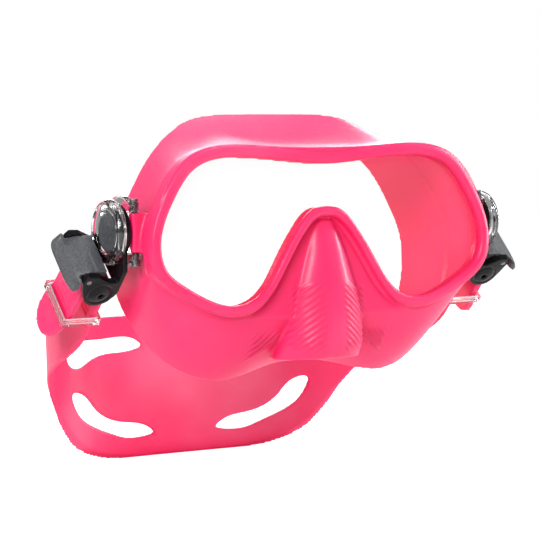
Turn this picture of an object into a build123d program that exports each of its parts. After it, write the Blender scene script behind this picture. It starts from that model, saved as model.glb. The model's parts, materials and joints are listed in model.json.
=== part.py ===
from build123d import *
from math import cos, hypot, radians, sin
import os

# A frameless one-window diving mask, in millimetres. The mask faces -Y, +X is the wearer's left and
# +Z is up. The origin lies under the middle of the whole mask, level with the strap's lower edge.

# Where the mask stands in the frame
lens_front_y = -56.7  # front face of the glass
lens_level_z = 82.0  # the level through the lens that all heights below are counted from
margin = 5.0  # cutting blocks run this far past what they cut
half_block = 120.0  # half width of a block that spans the whole mask

# Skirt
wall = 2.2
waist_depth = 24.0
skirt_depth = 46.0
bead_front = -2.8
bead_back = 4.2
bead_proud = 0.8
seal_root_depth = 20.0
seal_edge_depth = 38.0
seal_thickness = 1.4
seal_reach = 11.2
rim_outline = [
    (0, 47), (22, 47.6), (38, 48.6), (50, 48), (60, 44.6), (69, 36), (75, 24.5), (78.7, 10),
    (76.8, 0.5), (68, -7.8), (57, -13.8), (45, -17.5), (30, -19), (15, -19.8), (0, -20),
]
waist_outline = [
    (0, 53), (23, 53.2), (38, 53.4), (48.5, 50.5), (59, 42.5), (67.5, 30), (73.6, 15.5), (74.5, 0),
    (71, -15), (64, -27.5), (53, -38.5), (38.6, -44.2), (26, -42.3), (13, -38.3), (0, -37),
]
flange_outline = [
    (0, 66), (23, 65.5), (37.5, 62), (47, 55), (56.5, 44), (64.5, 29.5), (71, 14), (72.5, -2),
    (70, -18), (64, -30), (53, -41), (38.6, -46.5), (26, -44), (13, -40), (0, -38.5),
]
flange_edge = [
    (41, 70), (40.5, 56), (39.5, 40), (43, 14), (40.5, -5), (35, -17), (28, -32), (21.5, -44), (17, -52),
]
skirt_front = -20.0  # in front of everything on the skirt

# Lens
lens_thickness = 3.2
lens_margin = 2.2
window_outline = [
    (0, 40.5), (20, 42), (36, 43.2), (46, 43.2), (58, 39.4), (67, 28.7), (73.6, 9), (71, 1), (65, -4),
    (56, -9.1), (42, -13), (31.4, -9.5), (21.9, 3), (12.6, 16.8), (5.9, 23), (0, 24),
]
bead_outline = [
    (0, 47), (22, 47.6), (38, 48.6), (50, 48), (60, 44.6), (69, 36), (75, 24.5), (78.7, 10), (76.8, 0.5),
    (68, -7.8), (57, -13.8), (45, -17.3), (34, -16), (27, -9.6), (18, 3.5), (11, 14), (5, 19.2), (0, 20.2),
]

# Nose pocket: level, half width, reach in front of the lens, depth of its root behind the lens
nose_levels = [
    (19, 5, 0.6, 6), (8, 9.5, 4.4, 6), (-5, 13.5, 6.4, 6), (-20, 16.6, 7.4, 9),
    (-30, 16.8, 6.8, 15), (-35.5, 15.2, 3.0, 18),
]
nose_flank = (0.97, 0.1)  # a point on a level's side, as shares of its half width and reach
nose_flank_back = 2.0
nose_shoulder = (0.55, 0.72)  # a point beside the ridge

# Swivel disc on each side
disc_y = 15.5
disc_z = 16.5
flange_x = 79.6
flange_thickness = 2.5
flange_radius = 13.65
boss_radius = 5.0
hub_x = 82.4
hub_thickness = 1.9
hub_radius = 10.8
ring_x = 84.5
ring_thickness = 2.5
ring_floor = 0.7
ring_radius = 12.2
ring_chamfer = 0.9
cap_radius = 7.65
cap_face_x = 87.2
cap_round = 0.5
stem_radius = 2.9
running_gap = 0.05

# Hinge of the bracket on the skirt's ear
pin_x = 79.9
pin_y = 6.9
pin_radius = 1.0
pin_overhang = 0.6
knuckle_radius = 1.9
ear_bottom = 8.5
ear_top = 23.5
lug_height = 3.5
lug_gap = 0.3
ear_notch = 1.2
ear_reach = 4.5

# Buckle, in its own directions: along the strap, and across it
strap_drop = 42.0
strap_low = -12.5
strap_high = 5.5
strap_thickness = 2.2
cheek_gap = 0.5
cheek_thickness = 2.8
plate_start = 2.0
plate_end = 14.5
plate_foot = 5.0
roller_x = 89.7
roller_along = 17.5
roller_radius = 3.0
trunnion_radius = 1.3
strap_gap = 0.35
pivot_x = 96.5
pivot_along = 10.5
pivot_radius = 1.0
barrel_radius = 2.3
lever_profile = [
    (88.8, 7.6), (96, 7.6), (101, 9.2), (105, 12.2), (104.2, 13.8), (100, 12.6), (96.5, 12.9), (89.2, 11.2),
]
paddle_start_x = 99.6
paddle_low = -17.0
paddle_high = 8.4
cheek_profile = [
    (82.4, 11), (87.8, 11), (93.5, 7.6), (97.8, 7.4), (99.2, 10.5), (95, 23), (89.7, 25), (82.4, 24),
]

# Strap
tail_straight_end = 22.0
tail_end = (97.5, 48)
tail_round_along = 39.0
loop_end_along = 20.5
loop_overlap = 5.0
tail_inner_x = 81.7  # the strap's end is cut to shape outward from here
tail_block = 24.0
run_front = 20.0
run_end = 44.0
side_run_end = 42.0
back_path = [(0, 121), (30, 119.6), (55.5, 113), (72.3, 101.3), (81.4, 84.5), (85.5, 66)]
panel_top = -20.5
panel_bottom = -82.0
panel_start = 104.0
panel_back = 130.0
upper_edge = [(66, -14.5), (84, -18.8)]
lower_edge = [(118.6, -82), (113.3, -76.6), (105, -61), (97, -49), (80, -39.5)]
upper_slot = [
    (20.5, -33.2), (24, -30.8), (40, -29.8), (53, -30), (61.5, -33.5), (60.5, -39.3), (54.8, -41.5),
    (46, -38), (36, -36.2), (24, -35.2),
]
lower_slot = [
    (15.8, -71.3), (19, -69), (34, -65.8), (45.5, -59.5), (53, -52.5), (58.5, -52), (57, -58.5),
    (49.7, -65.5), (36, -71.3), (20, -73.2),
]

# Strap keeper
keeper_along = 36.0
keeper_width = 5.5
keeper_wall = 1.2
keeper_gap = 0.4
keeper_outer_x = 97.6

along = (0, cos(radians(strap_drop)), -sin(radians(strap_drop)))
across = (0, sin(radians(strap_drop)), cos(radians(strap_drop)))
loop_radius = roller_radius + strap_gap + strap_thickness / 2
inner_run_x = roller_x - loop_radius
outer_face_x = inner_run_x + strap_thickness / 2
tail_x = roller_x + loop_radius


def facing(depth):
    """The plane of the lens, moved back by depth: its axes are +X and up."""
    return Plane(origin=(0, lens_front_y + depth, lens_level_z), x_dir=(1, 0, 0), z_dir=(0, -1, 0))


def level(height):
    """A level plane, with its axes along +X and to the rear."""
    return Plane(origin=(0, lens_front_y, lens_level_z + height), x_dir=(1, 0, 0), z_dir=(0, 0, 1))


def side(x):
    """An upright plane square to +X, with its axes to the rear and up."""
    return Plane(origin=(x, lens_front_y, lens_level_z), x_dir=(0, 1, 0), z_dir=(1, 0, 0))


def on_disc(x):
    """A plane square to the swivel axis, with its axes along and across the strap."""
    return Plane(origin=(x, lens_front_y + disc_y, lens_level_z + disc_z), x_dir=along, z_dir=(1, 0, 0))


def in_buckle(offset):
    """A plane square to the buckle's rollers: its axes are +X and along the strap."""
    centre = (0, lens_front_y + disc_y + across[1] * offset, lens_level_z + disc_z + across[2] * offset)
    return Plane(origin=centre, x_dir=(1, 0, 0), z_dir=across)


def beside(run, offset):
    """Rear and up distances of a point given along and across the strap."""
    return (disc_y + along[1] * run + across[1] * offset, disc_z + along[2] * run + across[2] * offset)


def inset(points, amount):
    """The half outline moved inward, each point square to the line between its neighbours."""
    moved = []
    for i, (x, z) in enumerate(points):
        before = points[i - 1] if i > 0 else (-points[1][0], points[1][1])
        after = points[i + 1] if i < len(points) - 1 else (-points[-2][0], points[-2][1])
        run, rise = after[0] - before[0], after[1] - before[1]
        length = hypot(run, rise)
        moved.append((x + amount * rise / length, z - amount * run / length))
    return moved


def between(first, second, share):
    """The half outline that lies a share of the way from the first to the second."""
    return [(a[0] + (b[0] - a[0]) * share, a[1] + (b[1] - a[1]) * share) for a, b in zip(first, second)]


def skirt_outline(depth, amount):
    """The skirt's half outline at a depth behind the lens, moved inward by an amount."""
    if depth < waist_depth:
        return inset(between(neck_outline, waist_outline, depth / waist_depth), amount)
    share = (depth - waist_depth) / (skirt_depth - waist_depth)
    return inset(between(waist_outline, flange_outline, share), amount)


def symmetric_face(points):
    """A face from a half outline that runs from the top middle to the bottom middle."""
    with BuildLine() as outline:
        Spline(*points, tangents=((1, 0), (-1, 0)))
        mirror(about=Plane.YZ)
    make_face(outline.edges())


def loft_outlines(outlines, mode):
    """A loft through half outlines, given as pairs of depth and points."""
    sections = []
    for depth, points in outlines:
        with BuildSketch(facing(depth)) as section:
            symmetric_face(points)
        sections.append(section.sketch)
    loft(sections, mode=mode)


def nose_loft(shrink, mode):
    """The nose pocket's outer body, or its hollow when shrink is the wall."""
    sections = []
    for height, half_width, reach, root in nose_levels:
        lowest = height == nose_levels[-1][0]
        lift = shrink if lowest else 0
        tip = -(reach - shrink)
        half = half_width - shrink
        rear = root + shrink * 2
        flank = (half * nose_flank[0], tip * nose_flank[1] + nose_flank_back)
        shoulder = (half * nose_shoulder[0], tip * nose_shoulder[1])
        with BuildSketch(level(height + lift)) as section:
            with BuildLine():
                Spline((half, rear), flank, shoulder, (0, tip))
                mirror(about=Plane.YZ)
                Line((-half, rear), (half, rear))
            make_face()
        sections.append(section.sketch)
    loft(sections, mode=mode)


def mirror_pair(piece, name):
    """Writes a piece of the wearer's left side and its mirror image on the right side."""
    piece.part.label = f"{name}_left"
    export_step(piece.part, f"parts/{name}_left.step")
    with BuildPart() as twin:
        mirror(piece.part, about=Plane.YZ)
    twin.part.label = f"{name}_right"
    export_step(twin.part, f"parts/{name}_right.step")


os.makedirs("parts", exist_ok=True)
neck_outline = inset(rim_outline, bead_proud)

# Lens: one flat pane with a notch for the nose
with BuildPart() as lens:
    with BuildSketch(facing(lens_thickness)):
        symmetric_face(inset(window_outline, -lens_margin))
    extrude(amount=lens_thickness)

lens.part.label = "lens"
export_step(lens.part, "parts/lens.step")

# Skirt: a flaring wall with a bead round the lens, a nose pocket, a double seal and two ears
with BuildPart() as skirt:
    loft_outlines([(0, neck_outline), (waist_depth, waist_outline), (skirt_depth, flange_outline)], Mode.ADD)
    hollow = [(depth, skirt_outline(depth, wall)) for depth in (wall, waist_depth, skirt_depth)]
    loft_outlines(hollow, Mode.SUBTRACT)
    seal_root = skirt_outline(seal_root_depth, wall / 2)
    seal_edge = skirt_outline(seal_edge_depth, seal_reach)
    loft_outlines([(seal_root_depth, seal_root), (seal_edge_depth, seal_edge)], Mode.ADD)
    seal_cuts = [
        (seal_root_depth - seal_thickness, inset(seal_root, seal_thickness)),
        (seal_edge_depth + seal_thickness, inset(seal_edge, seal_thickness)),
    ]
    loft_outlines(seal_cuts, Mode.SUBTRACT)
    with BuildSketch(side(0)):
        with BuildLine():
            Spline(*flange_edge)
            top, bottom = flange_edge[0], flange_edge[-1]
            Polyline(bottom, (skirt_front, bottom[1]), (skirt_front, top[1]), top)
        make_face()
    extrude(amount=half_block, both=True, mode=Mode.INTERSECT)
    nose_loft(0, Mode.ADD)
    nose_loft(wall, Mode.SUBTRACT)
    for turn in (1, -1):
        with BuildSketch(level(ear_bottom)):
            with Locations((turn * pin_x, pin_y)):
                Circle(knuckle_radius)
            with Locations((turn * (pin_x - ear_reach / 2), pin_y)):
                Rectangle(ear_reach, 2 * knuckle_radius)
            with Locations((turn * pin_x, pin_y)):
                Circle(pin_radius + running_gap, mode=Mode.SUBTRACT)
        extrude(amount=ear_top - ear_bottom)
    with BuildSketch(facing(bead_back)):
        symmetric_face(bead_outline)
    extrude(amount=bead_back - bead_front)
    with BuildSketch(facing(bead_back)):
        symmetric_face(window_outline)
    extrude(amount=bead_back - bead_front, mode=Mode.SUBTRACT)
    add(lens.part, mode=Mode.SUBTRACT)

skirt.part.label = "skirt"
export_step(skirt.part, "parts/skirt.step")

# Strap: a split back panel, side runs, and an end on each side that goes round the buckle's roller
middle = (strap_high + strap_low) / 2
width = strap_high - strap_low
with BuildPart() as strap_end:
    with BuildSketch(in_buckle(strap_low)):
        with BuildLine():
            TangentArc((tail_x, tail_straight_end), tail_end, tangent=(0, 1))
            Line((tail_x, tail_straight_end), (tail_x, roller_along))
            CenterArc((roller_x, roller_along), loop_radius, 0, -180)
            Line((inner_run_x, roller_along), (inner_run_x, loop_end_along + loop_overlap))
            offset(amount=strap_thickness / 2)
        make_face()
    extrude(amount=strap_high - strap_low)
    with BuildSketch(on_disc(tail_inner_x)):
        with Locations((tail_round_along, middle)):
            Circle(width / 2)
        with Locations((tail_round_along / 2, middle)):
            Rectangle(tail_round_along, width)
    extrude(amount=tail_block, mode=Mode.INTERSECT)
    with BuildSketch(on_disc(tail_inner_x)):
        with Locations((loop_end_along, middle)):
            Rectangle(tail_block, width, align=(Align.MIN, Align.CENTER))
    extrude(amount=roller_x - tail_inner_x, mode=Mode.SUBTRACT)

with BuildPart() as strap:
    with BuildSketch(level(panel_bottom - margin)):
        with BuildLine():
            outer_path = back_path + [(outer_face_x, run_end)]
            inner_path = inset(outer_path, strap_thickness)
            inner_path[-1] = (outer_face_x - strap_thickness, run_end)
            for path in (outer_path, inner_path):
                Spline(*path, tangents=((1, 0), (0, -1)))
                Line(path[-1], (path[-1][0], run_front))
            Line((outer_path[-1][0], run_front), (inner_path[-1][0], run_front))
            Line(outer_path[0], inner_path[0])
        make_face()
        mirror(about=Plane.YZ)
    extrude(amount=disc_z - panel_bottom + 2 * margin)
    with BuildSketch(side(0)):
        with BuildLine():
            Polyline(
                beside(side_run_end, strap_low), beside(loop_end_along, strap_low),
                beside(loop_end_along, strap_high), beside(side_run_end, strap_high),
            )
            Spline(
                beside(side_run_end, strap_high), *upper_edge, (panel_start, panel_top),
                tangents=(along[1:], (1, 0)),
            )
            Polyline(
                (panel_start, panel_top), (panel_back, panel_top),
                (panel_back, panel_bottom), lower_edge[0],
            )
            Spline(*lower_edge, beside(side_run_end, strap_low))
        make_face()
    extrude(amount=half_block, both=True, mode=Mode.INTERSECT)
    for slot in (upper_slot, lower_slot):
        with BuildSketch(facing(panel_back)):
            with BuildLine():
                Spline(*slot, periodic=True)
            make_face()
            mirror(about=Plane.YZ)
        extrude(amount=panel_back - side_run_end, mode=Mode.SUBTRACT)
    add(strap_end.part)
    mirror(strap_end.part, about=Plane.YZ)

strap.part.label = "strap"
export_step(strap.part, "parts/strap.step")

# Bracket: a clear disc with two lugs that take the hinge pin
with BuildPart() as bracket:
    with BuildSketch(on_disc(flange_x)):
        Circle(flange_radius)
    extrude(amount=flange_thickness)
    with BuildSketch(on_disc(flange_x + flange_thickness)):
        Circle(boss_radius)
    extrude(amount=ring_x - flange_x - flange_thickness)
    for lug_bottom in (ear_bottom - lug_gap - lug_height, ear_top + lug_gap):
        with BuildSketch(level(lug_bottom)):
            with Locations((pin_x, pin_y)):
                Circle(knuckle_radius)
            with BuildLine():
                Polyline(
                    (flange_x, pin_y), (pin_x + knuckle_radius, pin_y), (pin_x + knuckle_radius, disc_y),
                    (flange_x, disc_y), close=True,
                )
            make_face()
        extrude(amount=lug_height)
    with BuildSketch(level(ear_bottom - lug_gap - lug_height - margin)):
        with Locations((pin_x, pin_y)):
            Circle(pin_radius)
    extrude(amount=ear_top - ear_bottom + 2 * (lug_gap + lug_height + margin), mode=Mode.SUBTRACT)
    with BuildSketch(on_disc(flange_x)):
        Circle(stem_radius)
    extrude(amount=ring_x - flange_x, mode=Mode.SUBTRACT)
    with BuildSketch(level(ear_bottom - lug_gap)):
        with Locations((pin_x, pin_y + knuckle_radius + ear_notch - disc_y / 2)):
            Rectangle(4 * knuckle_radius, disc_y)
    extrude(amount=ear_top - ear_bottom + 2 * lug_gap, mode=Mode.SUBTRACT)

mirror_pair(bracket, "bracket")

# Hinge pin: joins the bracket's lugs to the ear
with BuildPart() as hinge_pin:
    with BuildSketch(level(ear_bottom - lug_gap - lug_height - pin_overhang)):
        with Locations((pin_x, pin_y)):
            Circle(pin_radius)
    extrude(amount=ear_top - ear_bottom + 2 * (lug_gap + lug_height + pin_overhang))

mirror_pair(hinge_pin, "hinge_pin")

# Retaining ring: holds the buckle's hub on the boss
with BuildPart() as retaining_ring:
    with BuildSketch(on_disc(ring_x)):
        Circle(ring_radius)
        Circle(stem_radius, mode=Mode.SUBTRACT)
    extrude(amount=ring_thickness)
    chamfer(retaining_ring.edges().group_by(Axis.X)[-1], ring_chamfer)
    with BuildSketch(on_disc(ring_x + ring_floor)):
        Circle(cap_radius)
    extrude(amount=ring_thickness, mode=Mode.SUBTRACT)

mirror_pair(retaining_ring, "retaining_ring")

# Swivel cap: a round button whose stem fills the boss
with BuildPart() as swivel_cap:
    with BuildSketch(on_disc(ring_x + ring_floor)):
        Circle(cap_radius)
    extrude(amount=cap_face_x - ring_x - ring_floor)
    fillet(swivel_cap.edges().group_by(Axis.X)[-1], cap_round)
    with BuildSketch(on_disc(ring_x + ring_floor)):
        Circle(stem_radius)
    extrude(amount=-(ring_x + ring_floor - flange_x))

mirror_pair(swivel_cap, "swivel_cap")

# Buckle frame: a hub on the boss, a plate and two cheeks
lower_cheek = strap_low - cheek_gap - cheek_thickness
upper_cheek = strap_high + cheek_gap
with BuildPart() as buckle_frame:
    with BuildSketch(on_disc(hub_x)):
        Circle(hub_radius)
        with BuildLine():
            Polyline(
                (plate_start, upper_cheek + cheek_thickness), (plate_end, upper_cheek + cheek_thickness),
                (plate_end, lower_cheek), (plate_foot, lower_cheek), (0, -hub_radius), close=True,
            )
        make_face()
        Circle(boss_radius + running_gap, mode=Mode.SUBTRACT)
    extrude(amount=hub_thickness)
    for cheek in (lower_cheek, upper_cheek):
        with BuildSketch(in_buckle(cheek)):
            Polygon(*cheek_profile, align=None)
            with Locations((roller_x, roller_along)):
                Circle(trunnion_radius + running_gap, mode=Mode.SUBTRACT)
            with Locations((pivot_x, pivot_along)):
                Circle(pivot_radius, mode=Mode.SUBTRACT)
        extrude(amount=cheek_thickness)

mirror_pair(buckle_frame, "buckle_frame")

# Strap roller, with a trunnion at each end
with BuildPart() as strap_roller:
    with BuildSketch(in_buckle(strap_low - cheek_gap / 2)):
        with Locations((roller_x, roller_along)):
            Circle(roller_radius)
    extrude(amount=strap_high - strap_low + cheek_gap)
    with BuildSketch(in_buckle(lower_cheek)):
        with Locations((roller_x, roller_along)):
            Circle(trunnion_radius)
    extrude(amount=upper_cheek + cheek_thickness - lower_cheek)

mirror_pair(strap_roller, "strap_roller")

# Lever pin
with BuildPart() as lever_pin:
    with BuildSketch(in_buckle(lower_cheek)):
        with Locations((pivot_x, pivot_along)):
            Circle(pivot_radius)
    extrude(amount=upper_cheek + cheek_thickness - lower_cheek)

mirror_pair(lever_pin, "lever_pin")

# Release lever: a pawl in front of the roller, a barrel on the pin and a broad paddle
with BuildPart() as release_lever:
    with BuildSketch(in_buckle(strap_low - cheek_gap / 2)):
        Polygon(*lever_profile, align=None)
        with Locations((pivot_x, pivot_along)):
            Circle(barrel_radius)
    extrude(amount=strap_high - strap_low + cheek_gap)
    with BuildSketch(in_buckle(paddle_low)):
        Polygon(*lever_profile, align=None)
        with Locations((paddle_start_x, pivot_along)):
            Rectangle(half_block, half_block, align=(Align.MAX, Align.CENTER), mode=Mode.SUBTRACT)
    extrude(amount=paddle_high - paddle_low)
    with BuildSketch(in_buckle(paddle_low)):
        with Locations((pivot_x, pivot_along)):
            Circle(pivot_radius + running_gap)
    extrude(amount=paddle_high - paddle_low, mode=Mode.SUBTRACT)

mirror_pair(release_lever, "release_lever")

# Keeper: a loop round the side run and the tail
keeper_inner_x = inner_run_x - strap_thickness / 2 - keeper_gap
keeper_room = keeper_outer_x - keeper_inner_x
with BuildPart() as strap_keeper:
    with BuildSketch(in_buckle(strap_low - keeper_gap - keeper_wall)):
        with Locations((keeper_inner_x + keeper_room / 2, keeper_along)):
            Rectangle(keeper_room + 2 * keeper_wall, keeper_width)
    extrude(amount=strap_high - strap_low + 2 * (keeper_gap + keeper_wall))
    with BuildSketch(in_buckle(strap_low - keeper_gap)):
        with Locations((keeper_inner_x + keeper_room / 2, keeper_along)):
            Rectangle(keeper_room, keeper_width + margin)
    extrude(amount=strap_high - strap_low + 2 * keeper_gap, mode=Mode.SUBTRACT)

mirror_pair(strap_keeper, "strap_keeper")
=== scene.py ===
import bmesh
import bpy
import json
import numpy as np
from math import cos, radians, sin
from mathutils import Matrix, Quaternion, Vector


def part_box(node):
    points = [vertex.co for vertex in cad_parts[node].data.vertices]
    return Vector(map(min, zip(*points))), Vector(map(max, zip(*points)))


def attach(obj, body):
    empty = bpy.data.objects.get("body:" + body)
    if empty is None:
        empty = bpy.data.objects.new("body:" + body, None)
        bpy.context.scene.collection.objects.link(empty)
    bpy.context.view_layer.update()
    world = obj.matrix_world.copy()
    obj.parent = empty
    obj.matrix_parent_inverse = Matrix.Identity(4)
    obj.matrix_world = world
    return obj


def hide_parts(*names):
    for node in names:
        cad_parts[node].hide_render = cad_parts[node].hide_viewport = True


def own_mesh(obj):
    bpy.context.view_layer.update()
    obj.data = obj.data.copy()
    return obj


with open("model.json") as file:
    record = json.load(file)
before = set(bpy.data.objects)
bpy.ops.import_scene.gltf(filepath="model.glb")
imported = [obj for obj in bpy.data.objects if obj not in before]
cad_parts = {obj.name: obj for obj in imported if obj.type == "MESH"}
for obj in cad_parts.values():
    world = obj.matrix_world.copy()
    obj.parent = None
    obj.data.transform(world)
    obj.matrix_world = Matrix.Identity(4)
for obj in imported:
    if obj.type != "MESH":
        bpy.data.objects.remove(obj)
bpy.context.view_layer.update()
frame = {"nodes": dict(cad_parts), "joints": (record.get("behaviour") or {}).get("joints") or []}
MM = 0.001

# Places worked out from the frame
joints = {joint["name"]: joint for joint in frame["joints"]}
lens_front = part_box("lens")[0].y
swivel = Vector(joints["strap_swing"]["pos_m"])
swivel_above_level = 16.5 * MM
level_z = swivel.z - swivel_above_level
along = np.array(joints["keeper_slide_left"]["axis"])
across = np.array((0, -along[2], along[1]))

# The strap's edges and middle, measured across it from the swivel
strap_low = -12.5 * MM
strap_high = 5.5 * MM
strap_middle = (strap_low + strap_high) / 2 / MM

# Mesh settings
smoothing_step = 0.5
restoring_step = -0.53
joined_within = 0.002 * MM
sliver_edge = 0.001 * MM
soft_rounds = 9
firm_rounds = 4
lever_rounds = 5


# ---------------------------------------------------------------- mesh helpers

def smooth_step(value, start, end):
    """0 before start, 1 after end, and a smooth ramp between them."""
    share = np.clip((value - start) / (end - start), 0, 1)
    return share * share * (3 - 2 * share)


def window(value, low, high, soft):
    """1 between low and high, with soft sides."""
    return smooth_step(value, low - soft, low + soft) * (1 - smooth_step(value, high - soft, high + soft))


def coordinates(mesh):
    flat = np.empty(len(mesh.vertices) * 3)
    mesh.vertices.foreach_get("co", flat)
    return flat.reshape(-1, 3)


def store(mesh, points):
    mesh.vertices.foreach_set("co", points.ravel())
    mesh.update()


def normals(mesh):
    flat = np.empty(len(mesh.vertices) * 3)
    mesh.vertex_normals.foreach_get("vector", flat)
    return flat.reshape(-1, 3)


def relax(mesh, rounds, shrink=0.0, weight=None):
    """Smooths the mesh. With no shrink it keeps its volume; shrink above 0 rounds edges off further."""
    edges = np.empty(len(mesh.edges) * 2, int)
    mesh.edges.foreach_get("vertices", edges)
    first, second = edges.reshape(-1, 2).T
    count = len(mesh.vertices)
    degree = np.maximum(np.bincount(first, minlength=count) + np.bincount(second, minlength=count), 1)
    points = coordinates(mesh)
    share = np.ones(count) if weight is None else weight
    for turn in range(rounds * 2):
        step = smoothing_step if turn % 2 == 0 else restoring_step * (1 - shrink)
        total = np.empty_like(points)
        for i in range(3):
            at_first = np.bincount(first, points[second, i], count)
            at_second = np.bincount(second, points[first, i], count)
            total[:, i] = at_first + at_second
        points += (total / degree[:, None] - points) * step * share[:, None]
    store(mesh, points)


def moulded(node, name, body, voxel, rounds, material):
    """A new piece with the CAD node's shape, in an even mesh with softened edges."""
    weld_share = 0.02
    mesh = frame["nodes"][node].data.copy()
    work = bmesh.new()
    work.from_mesh(mesh)
    bmesh.ops.remove_doubles(work, verts=work.verts, dist=voxel * weld_share)
    work.to_mesh(mesh)
    work.free()
    source = bpy.data.objects.new(name + ".source", mesh)
    bpy.context.scene.collection.objects.link(source)
    remesh = source.modifiers.new("remesh", "REMESH")
    remesh.mode = "VOXEL"
    remesh.voxel_size = voxel
    remesh.adaptivity = 0
    evaluated = source.evaluated_get(bpy.context.evaluated_depsgraph_get())
    even = bpy.data.meshes.new_from_object(evaluated)
    bpy.data.objects.remove(source)
    even.name = name
    even.materials.clear()
    even.materials.append(material)
    piece = bpy.data.objects.new(name, even)
    bpy.context.scene.collection.objects.link(piece)
    relax(even, rounds)
    even.shade_smooth()
    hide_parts(node)
    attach(piece, body)
    return piece


def cut_corners(points, rounds):
    """The closed outline with its corners cut off again and again, which rounds them."""
    for _ in range(rounds):
        following = points[1:] + points[:1]
        points = [
            (a[0] + (b[0] - a[0]) * share, a[1] + (b[1] - a[1]) * share)
            for a, b in zip(points, following) for share in (0.25, 0.75)
        ]
    return points


def turned(name, body, profile, origin, axis, material, steps):
    """A turned piece: the closed profile of (radius, distance along the axis) in millimetres."""
    axis = Vector(axis).normalized()
    first = axis.orthogonal().normalized()
    second = axis.cross(first)
    points = []
    faces = []
    count = len(profile)
    for step in range(steps):
        angle = 2 * np.pi * step / steps
        spoke = first * cos(angle) + second * sin(angle)
        for radius, place in profile:
            points.append(origin + axis * (place * MM) + spoke * (radius * MM))
        ahead = (step + 1) % steps
        for i in range(count):
            j = (i + 1) % count
            faces.append((step * count + i, step * count + j, ahead * count + j, ahead * count + i))
    mesh = bpy.data.meshes.new(name)
    mesh.from_pydata(points, [], faces)
    work = bmesh.new()
    work.from_mesh(mesh)
    bmesh.ops.remove_doubles(work, verts=work.verts, dist=joined_within)
    bmesh.ops.dissolve_degenerate(work, edges=work.edges, dist=sliver_edge)
    bmesh.ops.recalc_face_normals(work, faces=work.faces)
    work.to_mesh(mesh)
    work.free()
    mesh.materials.append(material)
    mesh.shade_smooth()
    piece = bpy.data.objects.new(name, mesh)
    bpy.context.scene.collection.objects.link(piece)
    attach(piece, body)
    return piece


def raise_along_normals(piece, height):
    """Moves each vertex along its normal by a height."""
    mesh = piece.data
    store(mesh, coordinates(mesh) + normals(mesh) * height[:, None])
    mesh.shade_smooth()


# ---------------------------------------------------------------- materials

def new_material(name, color, roughness, **inputs):
    material = bpy.data.materials.new(name)
    material.use_nodes = True
    shader = material.node_tree.nodes["Principled BSDF"]
    shader.inputs["Base Color"].default_value = (*color, 1)
    shader.inputs["Roughness"].default_value = roughness
    for key, value in inputs.items():
        shader.inputs[key.replace("_", " ")].default_value = value
    return material, shader


def noise(material, scale, detail=4.0):
    """A noise texture on the piece's own coordinates, in features per metre."""
    nodes, links = material.node_tree.nodes, material.node_tree.links
    place = nodes.new("ShaderNodeTexCoord")
    texture = nodes.new("ShaderNodeTexNoise")
    texture.inputs["Scale"].default_value = scale
    texture.inputs["Detail"].default_value = detail
    links.new(place.outputs["Object"], texture.inputs["Vector"])
    return texture


def color_socket(sockets, name):
    """The colour socket with that name on a mix node."""
    return next(socket for socket in sockets if socket.name == name and socket.type == "RGBA")


def paint_crease_shade(material, shader, color, reach):
    """Painted shade: turns the base colour towards a deeper one in creases narrower than reach, where ambient
    occlusion finds them.
    """
    fully_shaded = 0.45
    fully_unshaded = 0.95
    nodes, links = material.node_tree.nodes, material.node_tree.links
    before = shader.inputs["Base Color"].links[0].from_socket
    # Ambient occlusion finds where shade falls, and the mix below paints that shade into the base colour
    hollow = nodes.new("ShaderNodeAmbientOcclusion")
    hollow.samples = 6
    hollow.inputs["Distance"].default_value = reach
    unshaded_share = nodes.new("ShaderNodeMapRange")
    unshaded_share.inputs["From Min"].default_value = fully_shaded
    unshaded_share.inputs["From Max"].default_value = fully_unshaded
    mix = nodes.new("ShaderNodeMix")
    mix.data_type = "RGBA"
    color_socket(mix.inputs, "A").default_value = (*color, 1)
    links.new(hollow.outputs["AO"], unshaded_share.inputs["Value"])
    links.new(unshaded_share.outputs["Result"], mix.inputs["Factor"])
    links.new(before, color_socket(mix.inputs, "B"))
    links.new(color_socket(mix.outputs, "Result"), shader.inputs["Base Color"])


def vary_color(material, shader, texture, stops):
    """Base colour that drifts between stops over the texture."""
    nodes, links = material.node_tree.nodes, material.node_tree.links
    ramp = nodes.new("ShaderNodeValToRGB")
    ramp.color_ramp.elements[0].position = stops[0][0]
    ramp.color_ramp.elements[0].color = (*stops[0][1], 1)
    ramp.color_ramp.elements[1].position = stops[-1][0]
    ramp.color_ramp.elements[1].color = (*stops[-1][1], 1)
    for position, color in stops[1:-1]:
        ramp.color_ramp.elements.new(position).color = (*color, 1)
    links.new(texture.outputs["Fac"], ramp.inputs["Fac"])
    links.new(ramp.outputs["Color"], shader.inputs["Base Color"])


def vary_roughness(material, shader, texture, low, high):
    """Roughness that drifts between low and high over the texture's usual range."""
    texture_low = 0.3
    texture_high = 0.7
    nodes, links = material.node_tree.nodes, material.node_tree.links
    spread = nodes.new("ShaderNodeMapRange")
    spread.inputs["From Min"].default_value = texture_low
    spread.inputs["From Max"].default_value = texture_high
    spread.inputs["To Min"].default_value = low
    spread.inputs["To Max"].default_value = high
    links.new(texture.outputs["Fac"], spread.inputs["Value"])
    links.new(spread.outputs["Result"], shader.inputs["Roughness"])


def add_bump(material, shader, texture, strength, distance):
    nodes, links = material.node_tree.nodes, material.node_tree.links
    bump = nodes.new("ShaderNodeBump")
    bump.inputs["Strength"].default_value = strength
    bump.inputs["Distance"].default_value = distance
    links.new(texture.outputs["Fac"], bump.inputs["Height"])
    links.new(bump.outputs["Normal"], shader.inputs["Normal"])


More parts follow.
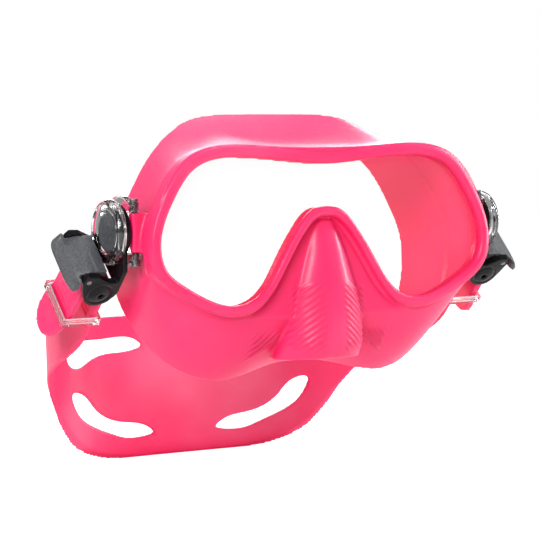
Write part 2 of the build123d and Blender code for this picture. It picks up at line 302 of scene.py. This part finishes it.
def silicone_material(name, patch_scale, stops):
    material, shader = new_material(name, color=(0.95, 0.05, 0.17), roughness=0.36,
                                    Subsurface_Weight=0.4, Subsurface_Scale=0.0014, IOR=1.3,
                                    Coat_Weight=0.12, Coat_Roughness=0.16)
    shader.inputs["Subsurface Radius"].default_value = (1.0, 0.14, 0.28)
    vary_color(material, shader, noise(material, scale=patch_scale, detail=3), stops)
    # Painted shade: creases and hollows turn a deep pink
    paint_crease_shade(material, shader, color=(0.78, 0.002, 0.09), reach=0.007)
    vary_roughness(material, shader, noise(material, scale=900, detail=5), low=0.3, high=0.44)
    add_bump(material, shader, noise(material, scale=2600, detail=3), strength=0.12, distance=0.00006)
    return material


def clear_silicone_material():
    material, shader = new_material("clear_silicone", color=(1.0, 0.9, 0.92), roughness=0.12,
                                    Transmission_Weight=0.96, IOR=1.3)
    vary_roughness(material, shader, noise(material, scale=700), low=0.08, high=0.18)
    add_bump(material, shader, noise(material, scale=1800), strength=0.15, distance=0.00008)
    return material


def glass_material():
    material, shader = new_material("lens_glass", color=(0.93, 0.97, 0.96), roughness=0.02,
                                    IOR=1.5, Alpha=0.03)
    vary_roughness(material, shader, noise(material, scale=30), low=0.0, high=0.03)
    return material


def clear_plastic_material():
    material, shader = new_material("clear_plastic", color=(0.97, 0.975, 0.98), roughness=0.03,
                                    Transmission_Weight=1.0, IOR=1.45)
    vary_roughness(material, shader, noise(material, scale=400), low=0.015, high=0.06)
    add_bump(material, shader, noise(material, scale=160, detail=2), strength=0.06, distance=0.0003)
    return material


def black_plastic_material():
    material, shader = new_material("black_plastic", color=(0.012, 0.012, 0.014), roughness=0.1, IOR=1.25)
    stops = [(0.3, (0.004, 0.004, 0.005)), (0.7, (0.01, 0.01, 0.012))]
    vary_color(material, shader, noise(material, scale=180), stops)
    vary_roughness(material, shader, noise(material, scale=500), low=0.07, high=0.16)
    add_bump(material, shader, noise(material, scale=900), strength=0.05, distance=0.0001)
    return material


def grey_plastic_material():
    material, shader = new_material("grey_plastic", color=(0.04, 0.04, 0.044), roughness=0.45)
    stops = [(0.3, (0.035, 0.037, 0.041)), (0.7, (0.095, 0.098, 0.106))]
    vary_color(material, shader, noise(material, scale=1500), stops)
    vary_roughness(material, shader, noise(material, scale=1200), low=0.28, high=0.48)
    add_bump(material, shader, noise(material, scale=2200, detail=2), strength=0.8, distance=0.00022)
    return material


def steel_material():
    material, shader = new_material("pin_steel", color=(0.2, 0.2, 0.21), roughness=0.3, Metallic=1.0)
    stops = [(0.3, (0.12, 0.12, 0.13)), (0.7, (0.3, 0.3, 0.31))]
    vary_color(material, shader, noise(material, scale=800), stops)
    vary_roughness(material, shader, noise(material, scale=2500), low=0.22, high=0.42)
    add_bump(material, shader, noise(material, scale=4000), strength=0.2, distance=0.00005)
    return material


silicone = silicone_material("pink_silicone", patch_scale=15, stops=[
    (0.3, (0.9, 0.028, 0.145)), (0.5, (0.93, 0.045, 0.175)), (0.7, (0.95, 0.075, 0.215))])
strap_silicone = silicone_material("pink_strap_silicone", patch_scale=13, stops=[
    (0.3, (0.9, 0.014, 0.12)), (0.5, (0.94, 0.05, 0.18)), (0.7, (0.97, 0.14, 0.28))])
clear_silicone = clear_silicone_material()
glass = glass_material()
clear_plastic = clear_plastic_material()
black_plastic = black_plastic_material()
grey_plastic = grey_plastic_material()
steel = steel_material()


# ---------------------------------------------------------------- pieces

def local(points):
    """Sideways distance from the middle, depth behind the lens and height above its level, in millimetres."""
    return np.abs(points[:, 0]) / MM, (points[:, 1] - lens_front) / MM, (points[:, 2] - level_z) / MM


def in_buckle(points):
    """Sideways distance, and distances along and across the strap from the swivel, in millimetres."""
    offset = points - np.array(swivel)
    return np.abs(points[:, 0]) / MM, offset @ along / MM, offset @ across / MM


def distance_from_glass(points):
    """How far each point lies outside the outline of the glass, seen from the front, in millimetres."""
    sharp_angle = 1
    front_slack = 0.1 * MM
    welded_within = 0.01 * MM
    far_off = 1e9
    tiny_square = 1e-18
    tiny_rise = 1e-12
    glass_mesh = frame["nodes"]["lens"].data
    faces = bmesh.new()
    faces.from_mesh(glass_mesh)
    bmesh.ops.remove_doubles(faces, verts=faces.verts, dist=welded_within)
    front_limit = lens_front + front_slack
    sharp = [edge for edge in faces.edges if edge.calc_face_angle(0) > sharp_angle]
    rim = [edge for edge in sharp if max(edge.verts[0].co.y, edge.verts[1].co.y) < front_limit]
    starts = np.array([edge.verts[0].co[:] for edge in rim])[:, [0, 2]]
    ends = np.array([edge.verts[1].co[:] for edge in rim])[:, [0, 2]]
    faces.free()
    seen = points[:, [0, 2]]
    nearest = np.full(len(points), far_off)
    crossings = np.zeros(len(points), int)
    for start, end in zip(starts, ends):
        run = end - start
        share = np.clip((seen - start) @ run / max(run @ run, tiny_square), 0, 1)
        nearest = np.minimum(nearest, np.hypot(*(seen - start - share[:, None] * run).T))
        spans = (start[1] > seen[:, 1]) != (end[1] > seen[:, 1])
        rise = run[1] if abs(run[1]) > tiny_rise else tiny_rise
        crossings += spans & (seen[:, 0] < start[0] + (seen[:, 1] - start[1]) * run[0] / rise)
    return np.where(crossings % 2 == 1, -nearest, nearest) / MM


def make_skirt():
    """The soft skirt, with a bead round the glass and fine ribs beside the nose."""
    bead_depth = (3.5, 6.5)
    bead_height = (-17, -12)
    bead_rounds = 14
    bead_shrink = 0.35
    face_depth = (1.5, 4.5)
    face_gap = (-2.6, -1.4)
    swell_gap = 0.4
    swell_spread = 1.5
    swell_height = 0.7
    groove_gap = 2.6
    groove_spread = 0.45
    groove_depth = 0.55
    facing = (0.05, 0.35)
    rib_height = 0.7
    cheek_share = 1.2
    piece = moulded("skirt", "skirt_soft", "mask", 0.62 * MM, soft_rounds, silicone)
    mesh = piece.data
    _, y, z = local(coordinates(mesh))
    bead = 1 - smooth_step(y, *bead_depth)
    relax(mesh, bead_rounds, bead_shrink, bead * smooth_step(z, *bead_height))
    # The bead swells along the edge of the glass, and a shallow groove runs round outside it
    gap = distance_from_glass(coordinates(mesh))
    _, y, _ = local(coordinates(mesh))
    on_bead = (1 - smooth_step(y, *face_depth)) * smooth_step(gap, *face_gap)
    swell = np.exp(-((gap + swell_gap) / swell_spread) ** 2) * swell_height
    groove = np.exp(-((gap - groove_gap) / groove_spread) ** 2) * groove_depth
    raise_along_normals(piece, on_bead * (swell - groove) * MM)
    x, y, z = local(coordinates(mesh))
    outward = normals(mesh)
    front = smooth_step(-outward[:, 1], *facing)
    # Fine diagonal ribs on the nose pocket's sides and the cheek beside it
    flank = window(x, 4.5, 16.5, soft=1.2) * window(z, -32, -7, soft=2.5) * (1 - smooth_step(y, 5, 9))
    rib = np.clip(np.cos((z + x * 0.75) / 2.5 * 2 * np.pi), 0, 1) ** 0.7
    lowered = z + (x - 19) * 0.5
    cheek = window(x, 19, 31, soft=1.5) * window(lowered, -29, -16, soft=1.5) * smooth_step(y, 3, 6)
    rib_cheek = np.clip(np.cos((z + x * 0.9) / 2.6 * 2 * np.pi), 0, 1) ** 0.8
    raise_along_normals(piece, (rib * flank + rib_cheek * cheek * cheek_share) * front * rib_height * MM)


def make_strap():
    """The soft strap, with longer tails, a ladder and a raised border."""
    tail_run = (30, 46)
    tail_out = (90.5, 92)
    tail_longer = 2.2
    tail_further = 1.6
    facing = (0.3, 0.7)
    ladder_half = 5.6
    ladder_run = (23.5, 38)
    ladder_out = (78, 80)
    rung_pitch = 2.0
    rung_limit = 0.6
    rung_height = 0.4
    ladder_depth = 0.25
    end_run = 40.5
    end_radius = 9
    border_height = 0.55
    pad_depth = 0.4
    piece = moulded("strap", "strap_soft", "strap_band", 0.6 * MM, soft_rounds, strap_silicone)
    mesh = piece.data
    points = coordinates(mesh)
    x, run, _ = in_buckle(points)
    # The tail's free end is longer and stands further off
    free = smooth_step(run, *tail_run) * smooth_step(x, *tail_out)
    points += np.outer(free * tail_longer * MM, along)
    points[:, 0] += np.sign(points[:, 0]) * free * tail_further * MM
    store(mesh, points)
    x, run, offset = in_buckle(points)
    outward = normals(mesh)
    outer = smooth_step(outward[:, 0] * np.sign(points[:, 0]), *facing)
    # Ladder across the tail and the side run, inside a plain border
    low = strap_middle - ladder_half
    high = strap_middle + ladder_half
    ladder = window(offset, low, high, soft=0.4) * window(run, *ladder_run, soft=0.5)
    ladder = ladder * smooth_step(x, *ladder_out)
    rung = np.clip(np.cos(run / rung_pitch * 2 * np.pi), -rung_limit, rung_limit)
    # A raised border round the tail's free end
    aside = offset - strap_middle
    edge = end_radius - np.where(run < end_run, np.abs(aside), np.hypot(run - end_run, aside))
    on_tail = smooth_step(x, 91, 92)
    border = window(edge, -1, 1.5, soft=0.45) * smooth_step(run, 19, 22) * on_tail
    pad = smooth_step(edge, 2.0, 3.2) * smooth_step(run, 38.5, 39.5) * on_tail
    relief = ladder * (rung * rung_height - ladder_depth) + border * border_height - pad * pad_depth
    raise_along_normals(piece, outer * relief * MM)
    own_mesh(piece)


def make_bracket(side):
    """The clear bracket that carries the swivel."""
    moulded(f"bracket_{side}", f"bracket_{side}_moulded", f"swivel_{side}", 0.3 * MM, firm_rounds,
            clear_plastic)


def make_roller(side):
    """The strap roller, slightly slimmer than its CAD node."""
    slimmer = 0.1 * MM
    piece = moulded(f"strap_roller_{side}", f"roller_{side}_moulded", f"roller_{side}", 0.28 * MM,
                    firm_rounds, black_plastic)
    raise_along_normals(piece, np.full(len(piece.data.vertices), -slimmer))


def make_lever(side):
    """The release lever, with a paddle that narrows at its ends and a hollow face."""
    paddle_out = (98.6, 99.8)
    below_start = 8.5
    below_length = 9.2
    above_start = 2.0
    above_length = 7.0
    end_limit = 0.985
    end_power = 2.2
    low_heart = 101.6
    high_heart = 100.8
    face_depth = 0.35
    hollow_middle = 99.0
    hollow_spread = 3.2
    hollow_depth = 0.7
    piece = moulded(f"release_lever_{side}", f"lever_{side}_moulded", f"lever_{side}", 0.34 * MM,
                    lever_rounds, grey_plastic)
    mesh = piece.data
    points = coordinates(mesh)
    x, _, offset = in_buckle(points)
    # The paddle narrows to a rounded end above and below
    paddle = smooth_step(x, *paddle_out)
    below = np.clip((-offset - below_start) / below_length, 0, end_limit)
    above = np.clip((offset - above_start) / above_length, 0, end_limit)
    reach = np.sqrt(1 - np.maximum(below, above) ** end_power)
    heart = np.where(offset < -4, low_heart, high_heart)
    narrow = heart + (x - heart) * reach
    points[:, 0] += np.sign(points[:, 0]) * (narrow - x) * paddle * MM
    store(mesh, points)
    relax(mesh, 4, shrink=0.15)
    x, _, offset = in_buckle(coordinates(mesh))
    outward = normals(mesh)
    outer = smooth_step(-(outward @ along), 0.15, 0.6)
    # A hollow face inside a thin raised border
    field = window(offset, -14.6, 6.2, soft=0.6) * window(x, 93, 103.0, soft=0.35)
    hollow = np.exp(-((x - hollow_middle) / hollow_spread) ** 2) * window(offset, -13, 5, soft=2.5)
    raise_along_normals(piece, -(field * face_depth + hollow * hollow_depth) * outer * MM)


def make_keeper(side):
    """The clear keeper, narrower along the strap than its CAD node, with fine ribs."""
    keeper_run = 36
    narrowed = 0.4
    rib_pitch = 1.35
    rib_height = 0.14
    piece = moulded(f"strap_keeper_{side}", f"keeper_{side}_ribbed", f"keeper_{side}", 0.28 * MM, firm_rounds,
                    clear_silicone)
    points = coordinates(piece.data)
    _, run, _ = in_buckle(points)
    points -= np.outer((run - keeper_run) * narrowed * MM, along)
    store(piece.data, points)
    relax(piece.data, 14, shrink=0.25)
    _, run, _ = in_buckle(coordinates(piece.data))
    rib = np.clip(np.cos((run - keeper_run) / rib_pitch * 2 * np.pi), -0.3, 1)
    raise_along_normals(piece, rib * rib_height * MM)


def swivel_axis(side):
    """The swivel's axis, pointing outward, from a point on the middle plane."""
    return swivel, (1 if side == "left" else -1, 0, 0)


def make_ring(side):
    """The clear front ring, turned."""
    outline = [
        (7.9, 85.3), (7.9, 87.2), (8.4, 87.9), (9.0, 87.3), (9.6, 87.9), (10.8, 88.3), (11.9, 87.9),
        (12.4, 86.6), (12.4, 85.2), (11.8, 84.55), (9.5, 84.55), (7.9, 84.55),
    ]
    origin, axis = swivel_axis(side)
    piece = turned(f"ring_{side}_turned", f"swivel_{side}", cut_corners(outline, 3), origin, axis,
                   clear_plastic, steps=128)
    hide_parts(f"retaining_ring_{side}")


def make_cap(side):
    """The dished cap with its stem, turned."""
    dish = [
        (0, 86.3), (3.0, 86.35), (5.2, 86.6), (6.0, 87.0), (6.6, 87.25), (7.2, 87.2), (7.6, 86.8), (7.7, 86.2),
    ]
    stem = [(7.7, 84.75), (2.9, 84.75), (2.9, 79.7), (0, 79.7)]
    origin, axis = swivel_axis(side)
    piece = turned(f"cap_{side}_turned", f"swivel_{side}", dish + stem, origin, axis,
                   grey_plastic, steps=96)
    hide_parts(f"swivel_cap_{side}")


def make_hinge_pin(side):
    """The hinge pin with a ridged head at each end."""
    head_radius = 1.75
    valley_radius = 1.5
    ridges = 3
    ridge_pitch = 0.6
    low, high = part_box(f"hinge_pin_{side}")
    length = (high.z - low.z) / MM
    head = [(1.2, -0.9), (head_radius, -0.6)]
    for ridge in range(ridges):
        start = ridge * ridge_pitch
        head += [(head_radius, -0.3 + start), (valley_radius, -0.1 + start)]
        head += [(valley_radius, 0.1 + start), (head_radius, 0.2 + start)]
    lower = [(0, -0.9)] + head + [(1.0, 1.6)]
    upper = [(radius, length - place) for radius, place in reversed(lower)]
    origin = Vector(((low.x + high.x) / 2, (low.y + high.y) / 2, low.z))
    piece = turned(f"hinge_pin_{side}_turned", f"swivel_{side}", lower + upper, origin, (0, 0, 1),
                   steel, steps=40)
    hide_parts(f"hinge_pin_{side}")


def make_frame(side):
    """The buckle frame, with cheeks that are rounder than its hub."""
    roller_x = 90
    roller_run = 17
    cheek_radius = 6.3
    pull_share = 0.95
    dome_x = 91
    dome_height = 1.1
    line_radius = 4.6
    line_spread = 0.45
    line_depth = 0.4
    piece = moulded(f"buckle_frame_{side}", f"frame_{side}_moulded", f"buckle_{side}", 0.32 * MM, firm_rounds,
                    black_plastic)
    # The cheeks' rear ends are round about the roller
    points = coordinates(piece.data)
    x, run, _ = in_buckle(points)
    radius = np.maximum(np.hypot(x - roller_x, run - roller_run), 1)
    pull = smooth_step(run, 16, 21) * np.maximum(radius - cheek_radius, 0) * pull_share / radius
    points[:, 0] -= np.sign(points[:, 0]) * (x - roller_x) * pull * MM
    points -= np.outer((run - roller_run) * pull * MM, along)
    store(piece.data, points)
    x, _, _ = in_buckle(points)
    relax(piece.data, 12, shrink=0.3, weight=smooth_step(x, 85, 87))
    x, run, offset = in_buckle(coordinates(piece.data))
    outward = normals(piece.data) @ across
    aside = offset - strap_middle
    outer = smooth_step(outward * np.sign(aside), 0.3, 0.8)
    far = smooth_step(np.abs(aside), 10.5, 11.5)
    dome = np.exp(-((x - dome_x) / 4.5) ** 2 - ((run - roller_run) / 5) ** 2)
    # A groove runs round inside each cheek's edge
    off_line = np.hypot(x - roller_x, run - roller_run) - line_radius
    line = np.exp(-(off_line / line_spread) ** 2)
    raise_along_normals(piece, outer * far * (dome * dome_height - line * line_depth) * MM)


def bevelled(node, width, material):
    """A CAD node whose shape stays, with its edges eased and its own finish."""
    piece = frame["nodes"][node]
    piece.data.materials.clear()
    piece.data.materials.append(material)
    weld = piece.modifiers.new("weld", "WELD")
    weld.merge_threshold = 0.005 * MM
    bevel = piece.modifiers.new("bevel", "BEVEL")
    bevel.width = width
    bevel.segments = 3
    bevel.limit_method = "ANGLE"
    bevel.angle_limit = radians(35)
    bevel.harden_normals = True
    piece.data.shade_smooth()


make_skirt()
make_strap()
bevelled("lens", 0.4 * MM, glass)
for side in ("left", "right"):
    make_bracket(side)
    make_ring(side)
    make_cap(side)
    make_lever(side)
    make_keeper(side)
    make_frame(side)
    make_roller(side)
    make_hinge_pin(side)
    bevelled(f"lever_pin_{side}", 0.2 * MM, steel)


# ---------------------------------------------------------------- floor, light and camera

def brighter_to_look_at(nodes, links, socket, lighting, seen):
    """Gives a strength one value for what it lights and another for how it looks."""
    rays = nodes.new("ShaderNodeLightPath")
    spread = nodes.new("ShaderNodeMapRange")
    spread.inputs["To Min"].default_value = lighting
    spread.inputs["To Max"].default_value = seen
    links.new(rays.outputs["Is Camera Ray"], spread.inputs["Value"])
    links.new(spread.outputs["Result"], socket)


def make_floor():
    """A wide pale floor under the mask."""
    mesh = bpy.data.meshes.new("floor")
    half = 12
    corners = [(-half, -half, 0), (half, -half, 0), (half, half, 0), (-half, half, 0)]
    mesh.from_pydata(corners, [], [(0, 1, 2, 3)])
    floor = bpy.data.objects.new("floor", mesh)
    bpy.context.scene.collection.objects.link(floor)
    material, shader = new_material("pale_floor", color=(0.55, 0.55, 0.55), roughness=0.8)
    tree = material.node_tree
    brighter_to_look_at(tree.nodes, tree.links, shader.inputs["Emission Strength"],
                          lighting=0.3, seen=0.85)
    shader.inputs["Emission Color"].default_value = (1, 1, 1, 1)
    mesh.materials.append(material)


def make_light(name, place, target, size, power):
    data = bpy.data.lights.new(name, "AREA")
    data.shape = "RECTANGLE"
    data.size, data.size_y = size
    data.energy = power
    lamp = bpy.data.objects.new(name, data)
    lamp.location = place
    lamp.rotation_euler = (Vector(target) - Vector(place)).to_track_quat("-Z", "Y").to_euler()
    bpy.context.scene.collection.objects.link(lamp)


def make_camera():
    data = bpy.data.cameras.new("camera")
    data.lens = 140
    data.sensor_width = 36
    camera = bpy.data.objects.new("camera", data)
    place = Vector((-0.4415, -0.7491, 0.1032))
    target = Vector((-0.0255, -0.0567, 0.082))
    camera.location = place
    roll = radians(-1.75)
    turn = (target - place).to_track_quat("-Z", "Y") @ Quaternion((0, 0, 1), roll)
    camera.rotation_euler = turn.to_euler()
    data.clip_start = 0.01
    data.clip_end = 100
    bpy.context.scene.collection.objects.link(camera)
    bpy.context.scene.camera = camera


def make_world():
    world = bpy.data.worlds.new("studio")
    world.use_nodes = True
    nodes, links = world.node_tree.nodes, world.node_tree.links
    nodes["Background"].inputs["Color"].default_value = (1, 1, 1, 1)
    brighter_to_look_at(nodes, links, nodes["Background"].inputs["Strength"],
                          lighting=0.3, seen=1.0)
    bpy.context.scene.world = world
    bpy.context.scene.view_settings.view_transform = "Standard"


make_floor()
make_world()
make_light("key", place=(-1.0, -0.8, 0.7), target=swivel, size=(0.35, 0.6), power=15)
make_light("top", place=(0.1, 0.3, 1.2), target=swivel, size=(0.9, 0.6), power=9)
make_light("rim", place=(1.0, -0.2, 0.4), target=swivel, size=(0.15, 0.8), power=10)
make_light("back", place=(0.5, 1.0, 0.5), target=swivel, size=(0.6, 0.3), power=5)
make_camera()
